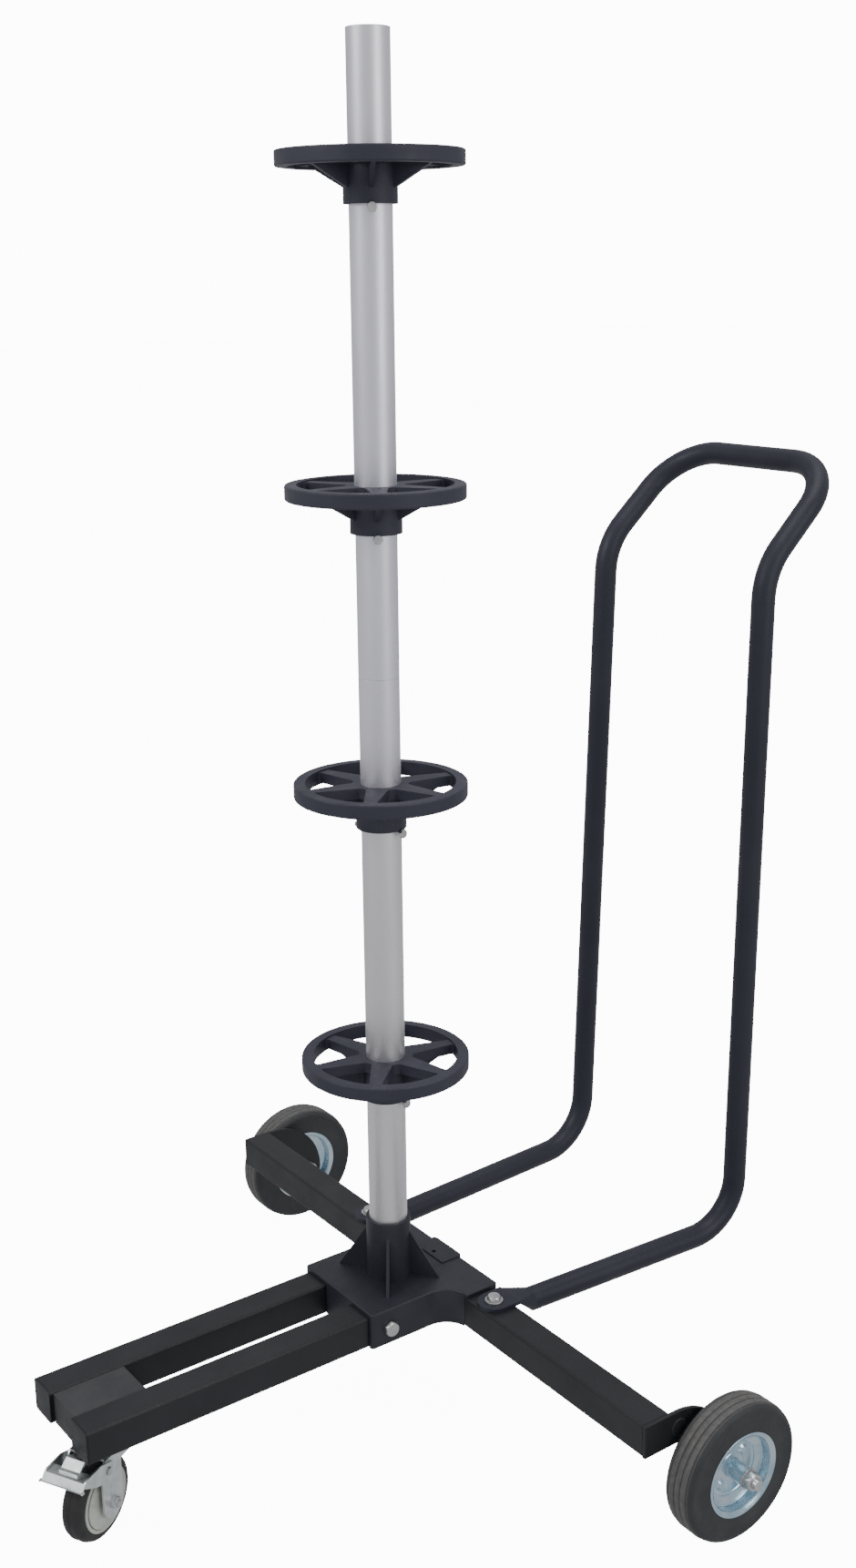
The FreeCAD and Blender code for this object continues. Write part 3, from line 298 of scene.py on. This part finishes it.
def makeMastMetal():
    # satin drawn aluminium: fine streaks along the tube, and small marks
    metal = makeFinish("mastAluminium", {
        "colour": mast["upper"], "shade": (0.78, 0.77, 0.83), "patchScale": 24, "stretch": (1, 1, 0.12),
        "speck": (0.50, 0.50, 0.50), "speckScale": 260, "speckFrom": 0.72, "metallic": 1.0,
        "roughness": (0.42, 0.52), "grainScale": 1500, "grainStretch": (1, 1, 0.02), "grainDepth": 0.03,
        "waveScale": 300, "waveStretch": (1, 1, 0.015), "waveDepth": 0.02})
    tree = metal.node_tree
    shader = tree.nodes["Principled BSDF"]
    colour = shader.inputs["Base Color"].links[0].from_socket
    coords = [node for node in tree.nodes if node.type == "TEX_COORD"][0].outputs["Object"]
    split = tree.nodes.new("ShaderNodeSeparateXYZ")
    tree.links.new(coords, split.inputs[0])
    height = tree.nodes.new("ShaderNodeMapRange")
    height.inputs["From Min"].default_value = mast["seam"] - mast["fadeBelow"]
    height.inputs["From Max"].default_value = mast["seam"] + mast["fadeAbove"]
    tree.links.new(split.outputs[2], height.inputs[0])
    warm = mixColour(tree, mast["lowerShare"], colour, (*mast["lower"], 1))
    tree.links.new(mixColour(tree, height.outputs[0], warm, colour), shader.inputs["Base Color"])
    return metal


material["mastAluminium"] = makeMastMetal()


def makeMast():
    for name, node in (("mastUpper", "mast_upper_tube"), ("mastLower", "mast_lower_tube")):
        low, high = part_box(node)
        centre = nodeCentre(node)
        half = (high.z - low.z) / 2 / mm
        inner = mast["radius"] - mast["wall"]
        outline = [(-half, inner), (-half, mast["radius"]), (half, mast["radius"]), (half, inner)]
        tube = turnedPiece(name, outline, centre, "Z", mast["steps"], mast["edge"], 2)
        installPiece(tube, "frame", "mast_aluminium", material["mastAluminium"], node)
    print("mast: two tubes")


makeMast()


disc = {"edge": 0.7, "segments": 2, "sharp": 50}
discBodies = {1: "disc_top", 2: "disc_upper", 3: "disc_lower", 4: "disc_bottom"}


def makeCarrierDiscs():
    for number, body in discBodies.items():
        node = "carrier_disc_%d" % number
        piece = roundedCopy(node, "carrierDisc%d" % number, disc["edge"], disc["segments"], disc["sharp"])
        installPiece(piece, body, "black_moulding", material["discMoulding"], node)
    print("carrier discs: four")


makeCarrierDiscs()


hub = {"edge": 1.6, "segments": 3}


def makeHub():
    piece = roundedCopy("hub_moulding", "hubMoulding", hub["edge"], hub["segments"])
    installPiece(piece, "frame", "black_moulding", material["blackMoulding"], "hub_moulding")
    print("hub moulding")


makeHub()


tyre = {"radius": 80.0, "half": 19.5, "groove": 1.7, "grooveHalf": 0.7, "ribPitch": 8.4, "ribHalf": 3.5,
        "ribSag": 0.8, "shoulder": 6.5, "shoulderDrop": 1.0, "bead": 49.0, "seat": 44.3, "wallRing": 71.5,
        "wallStep": 0.5, "wallHollow": 0.5, "innerRing": 55.0, "steps": 112, "corner": 0.3,
        "shoulderTurns": (0.25, 0.55, 0.85, 1.15, 1.45), "dustFrom": 1.6, "dustTo": 0.9,
        "tread": (0.118, 0.114, 0.110), "treadShade": (0.082, 0.080, 0.078),
        "wall": (0.030, 0.031, 0.035), "wallShade": (0.040, 0.040, 0.043)}


def makeTyreRubber(name, centre, look):
    # dusty worn tread and a darker, smoother wall, told apart by the distance from the axle
    rubber = makeFinish(name, {
        "colour": look["wall"], "shade": look["wallShade"], "patchScale": 28,
        "roughness": (0.5, 0.66), "grainScale": 900, "grainDepth": 0.10, "waveScale": 120, "waveDepth": 0.10})
    tree = rubber.node_tree
    shader = tree.nodes["Principled BSDF"]
    wallColour = shader.inputs["Base Color"].links[0].from_socket
    coords = [node for node in tree.nodes if node.type == "TEX_COORD"][0].outputs["Object"]
    centred = addNode(tree, "Mapping", Location=(0, -centre.y, -centre.z), Scale=(0, 1, 1))
    tree.links.new(coords, centred.inputs["Vector"])
    reach = tree.nodes.new("ShaderNodeVectorMath")
    reach.operation = "LENGTH"
    tree.links.new(centred.outputs[0], reach.inputs[0])
    edge = tree.nodes.new("ShaderNodeMapRange")
    edge.inputs["From Min"].default_value = (look["radius"] - look["dustFrom"]) * mm
    edge.inputs["From Max"].default_value = (look["radius"] - look["dustTo"]) * mm
    tree.links.new(reach.outputs["Value"], edge.inputs[0])
    worn = noiseMap(tree, coords, 190, 6.0, 0.35, 0.66)
    treadColour = mixColour(tree, worn, (*look["tread"], 1), (*look["treadShade"], 1))
    tree.links.new(mixColour(tree, edge.outputs[0], wallColour, treadColour), shader.inputs["Base Color"])
    return rubber


def tyreRib(look, centre):
    # one bulging rib of the tread, from its outer foot to its inner foot
    shares = (1, 0.7, 0.35, 0, -0.35, -0.7, -1)
    return [(centre + look["ribHalf"] * t, look["radius"] - look["ribSag"] * t * t) for t in shares]


def tyreOutline(look):
    half, radius, wide = look["half"], look["radius"], look["shoulder"]
    recess = half - look["wallStep"]
    rows = [(half - 3, look["bead"]), (half, look["bead"]), (half - 0.3, look["innerRing"] - 1.2),
            (recess, look["innerRing"]),
            (recess - look["wallHollow"], (look["innerRing"] + look["wallRing"]) / 2),
            (recess, look["wallRing"] - 0.6), (half, look["wallRing"])]
    low = radius - look["shoulderDrop"] - wide
    for angle in look["shoulderTurns"]:  # the round shoulder
        rows.append((half - wide * (1 - math.cos(angle)), low + wide * math.sin(angle)))
    bottom = radius - look["groove"]
    crown = [(look["ribPitch"] + look["ribHalf"] + look["grooveHalf"], bottom)]
    crown += tyreRib(look, look["ribPitch"]) + [(look["ribPitch"] / 2, bottom)]
    crown += [row for row in tyreRib(look, 0) if row[0] > 0]
    rows += crown
    left = [(-x, r) for x, r in rows[::-1]]
    return rows + [(0, radius)] + left + [(-half + 3, look["seat"]), (half - 3, look["seat"])]


def makeTransportTyres():
    for side in ("left", "right"):
        node = "wheel_tyre_" + side
        centre = nodeCentre(node)
        rubber = makeTyreRubber("tyreRubber" + side.title(), centre, tyre)
        piece = turnedPiece("tyre" + side.title(), tyreOutline(tyre), centre, "X", tyre["steps"],
                            tyre["corner"], 2)
        installPiece(piece, "wheel_" + side, "wheel_rubber", rubber, node)
    print("transport tyres: two")


makeTransportTyres()


rim = {"lipTop": 49.0, "half": 19.5, "sheet": 1.8, "barrel": 42.5, "web": 4.0, "bore": 10.5, "lip": 3.0,
       "ring": 34.5, "ringRise": 1.2, "flange": 17.8, "flangeRise": 0.9, "flangeEdge": 0.9,
       "lipProud": 0.6, "lipRound": 0.2, "webRun": 1, "dishDepth": 0.6, "dishRise": 2.0, "ringBack": 0.5,
       "ringFoot": 4.5, "ringStart": 3.3, "ringEnd": 0.8, "flare": ((-2.2, 0), (-0.8, 1.2), (0.9, 4.2)),
       "steps": 96, "corner": 0.5}


def rimOutline(look, way):
    half, sheet, barrel = look["half"], look["sheet"], look["barrel"]
    flange = sheet + look["flangeRise"]
    raised = sheet + look["ringRise"]
    rows = [(half + look["lipProud"], look["lipTop"] - look["lipRound"]),
            (half - look["lip"], look["lipTop"]),
            (half - look["lip"], barrel + sheet), (look["web"] + look["webRun"], barrel + sheet),
            (look["dishDepth"], look["ring"] + look["dishRise"]), (0.0, look["ring"] - look["ringBack"]),
            (0.0, look["bore"]), (flange, look["bore"]), (flange, look["flange"] - look["flangeEdge"]),
            (sheet, look["flange"]), (sheet, look["ring"] - look["ringFoot"]),
            (raised, look["ring"] - look["ringStart"]), (raised, look["ring"] - look["ringEnd"]),
            (sheet + look["web"] + look["dishDepth"], barrel)]
    rows += [(half + x, barrel + r) for x, r in look["flare"]]
    return [(way * x, r) for x, r in rows]


def makeRims():
    for side, heading in (("left", -1), ("right", 1)):
        for part, way in (("outer", heading), ("inner", -heading)):
            node = "rim_%s_half_%s" % (part, side)
            tyreCentre = nodeCentre("wheel_tyre_" + side)
            piece = turnedPiece("rim" + part.title() + side.title(), rimOutline(rim, way), tyreCentre, "X",
                                rim["steps"], rim["corner"], 3)
            installPiece(piece, "wheel_" + side, "zinc_rim", material["zincRim"], node)
    print("rims: four halves")


makeRims()


fastener = {"edge": 0.25, "sharp": 45, "smooth": 20}


def makeRoundedParts():
    # sheet parts and fasteners keep their CAD shape with softened edges
    parts = [
        ("castor_fork", "castorFork", "castor_swivel", "castor_zinc", "castorZinc", 0.6),
        ("brake_pedal", "brakePedal", "castor_pedal", "castor_zinc", "castorZinc", 0.6),
        ("brake_release_tab", "releaseTab", "castor_pedal", "castor_zinc", "castorZinc", 0.5),
        ("castor_tyre", "castorTyre", "castor_wheel", "castor_rubber", "castorRubber", 0.8),
        ("castor_core", "castorCore", "castor_wheel", "castor_core_plastic", "castorCore", 0.5),
        ("castor_covers", "castorCovers", "castor_wheel", "castor_core_plastic", "castorCore", 0.3),
        ("leg_end_cap_left", "legCapLeft", "frame", "black_moulding", "capPlastic", 0.8),
        ("leg_end_cap_right", "legCapRight", "frame", "black_moulding", "capPlastic", 0.8),
        ("leg_spacer_block", "legSpacer", "frame", "spacer_plastic", "spacerPlastic", 0.8),
        ("wheel_bracket_left", "bracketLeft", "frame", "frame_paint", "framePaint", 0.7),
        ("wheel_bracket_right", "bracketRight", "frame", "frame_paint", "framePaint", 0.7),
    ]
    for node, name, body, slot, finish, edge in parts:
        installPiece(roundedCopy(node, name, edge), body, slot, material[finish], node)
    print("sheet and moulded parts:", len(parts))


def makeFasteners():
    # bolts, nuts and washers keep flat hexagon faces with a fine break on the edges
    parts = [("hub_cross_bolt", "hubCrossBolt"), ("hub_cross_nut", "hubCrossNut"),
             ("handle_bolts", "handleBolts"), ("handle_washers", "handleWashers"),
             ("handle_nuts", "handleNuts"),
             ("disc_pin_bolts", "discPinBolts"), ("disc_pin_nuts", "discPinNuts"),
             ("axle_bolts", "axleBolts"), ("axle_nuts", "axleNuts"), ("axle_washers", "axleWashers"),
             ("castor_axle_bolt", "castorAxleBolt"), ("castor_axle_nut", "castorAxleNut")]
    for node, name in parts:
        body = "castor_swivel" if node.startswith("castor") else "frame"
        piece = roundedCopy(node, name, fastener["edge"], 2, fastener["sharp"], fastener["smooth"], False)
        installPiece(piece, body, "zinc_hardware", material["zincHardware"], node)
    print("fasteners:", len(parts))


makeRoundedParts()
makeFasteners()


# CAD nodes that stay as they are, by the slot their finish comes from
slotFinish = {"frame_paint": "framePaint", "handle_paint": "handlePaint", "black_moulding": "blackMoulding",
              "spacer_plastic": "spacerPlastic", "mast_aluminium": "mastAluminium",
              "inner_steel": "innerSteel",
              "zinc_hardware": "zincHardware", "zinc_rim": "zincRim", "wheel_rubber": "castorRubber",
              "castor_rubber": "castorRubber", "castor_zinc": "castorZinc",
              "castor_core_plastic": "castorCore"}
nodeFinish = {"wheel_hub_tube_left": "zincRim", "wheel_hub_tube_right": "zincRim"}  # plated like the rims
for part in frame["record"]["subparts"]:
    node = bpy.data.objects[part["node"]]
    finish = nodeFinish.get(part["node"], slotFinish[part["material_slot"]])
    node.data.materials.clear()
    node.data.materials.append(material[finish])
print("finishes given to the CAD nodes")


# floor, light and camera
studio = {"floorSize": 60.0, "floorColour": (0.85, 0.85, 0.85), "floorRoughness": 0.9,
          "skyColour": (0.96, 0.97, 1.0), "floorGlow": 12.0,
          "skyLight": 0.60, "skySeen": 13.0,
          "keyPlace": (-0.6, -3.6, 3.2), "keySize": 1.6, "keyPower": 60,
          "sidePlace": (3.9, 0.9, 1.9), "sideSize": 1.8, "sidePower": 36,
          "topPlace": (0.4, 0.6, 4.4), "topSize": 2.6, "topPower": 60}


def makeStudio():
    clearSelection()
    bpy.ops.mesh.primitive_plane_add(size=studio["floorSize"], location=(0, 0, 0))
    floor = bpy.context.object
    floor.name = "studioFloor"
    paper = bpy.data.materials.new("floorPaper")
    paper.use_nodes = True
    shader = paper.node_tree.nodes["Principled BSDF"]
    shader.inputs["Base Color"].default_value = (*studio["floorColour"], 1)
    shader.inputs["Roughness"].default_value = studio["floorRoughness"]
    shader.inputs["Emission Color"].default_value = (1, 1, 1, 1)
    shader.inputs["Emission Strength"].default_value = studio["floorGlow"]
    floor.data.materials.append(paper)
    floor.visible_diffuse = False  # the bright paper doesn't light the object from below
    floor.visible_glossy = False
    world = bpy.data.worlds.new("paleSky")
    world.use_nodes = True
    tree = world.node_tree
    light = tree.nodes["Background"]
    light.inputs[0].default_value = (*studio["skyColour"], 1)
    light.inputs[1].default_value = studio["skyLight"]
    seen = tree.nodes.new("ShaderNodeBackground")
    seen.inputs[0].default_value = (1, 1, 1, 1)
    seen.inputs[1].default_value = studio["skySeen"]
    path = tree.nodes.new("ShaderNodeLightPath")
    mix = tree.nodes.new("ShaderNodeMixShader")
    tree.links.new(path.outputs["Is Camera Ray"], mix.inputs[0])
    tree.links.new(light.outputs[0], mix.inputs[1])
    tree.links.new(seen.outputs[0], mix.inputs[2])
    tree.links.new(mix.outputs[0], tree.nodes["World Output"].inputs[0])
    bpy.context.scene.world = world
    target = (cadLow + cadHigh) / 2
    for name in ("key", "side", "top"):
        bpy.ops.object.light_add(type="AREA", location=studio[name + "Place"])
        lamp = bpy.context.object
        lamp.name = name + "Light"
        lamp.data.size = studio[name + "Size"]
        lamp.data.energy = studio[name + "Power"]
        lamp.rotation_euler = (target - lamp.location).to_track_quat("-Z", "Y").to_euler()
    print("floor and lights")


makeStudio()


view = {"place": (1.5659, -1.1398, 1.3119), "azimuth": 53.79, "elevation": 16.06, "roll": -0.57,
        "lens": 41.20, "sensor": 36.0, "farthest": 100.0}


def makeCamera():
    azimuth, elevation = math.radians(view["azimuth"]), math.radians(view["elevation"])
    back = Vector((math.sin(azimuth) * math.cos(elevation), -math.cos(azimuth) * math.cos(elevation),
                   math.sin(elevation)))
    right = (-back).cross(Vector((0, 0, 1))).normalized()
    up = right.cross(-back)
    roll = math.radians(view["roll"])
    columns = (right * math.cos(roll) + up * math.sin(roll),
               up * math.cos(roll) - right * math.sin(roll), back)
    clearSelection()
    bpy.ops.object.camera_add(location=view["place"])
    camera = bpy.context.object
    camera.rotation_euler = Matrix(columns).transposed().to_euler()
    camera.data.sensor_width = view["sensor"]
    camera.data.lens = view["lens"]
    camera.data.clip_end = view["farthest"]
    bpy.context.scene.camera = camera
    print("camera")


makeCamera()
clearSelection()
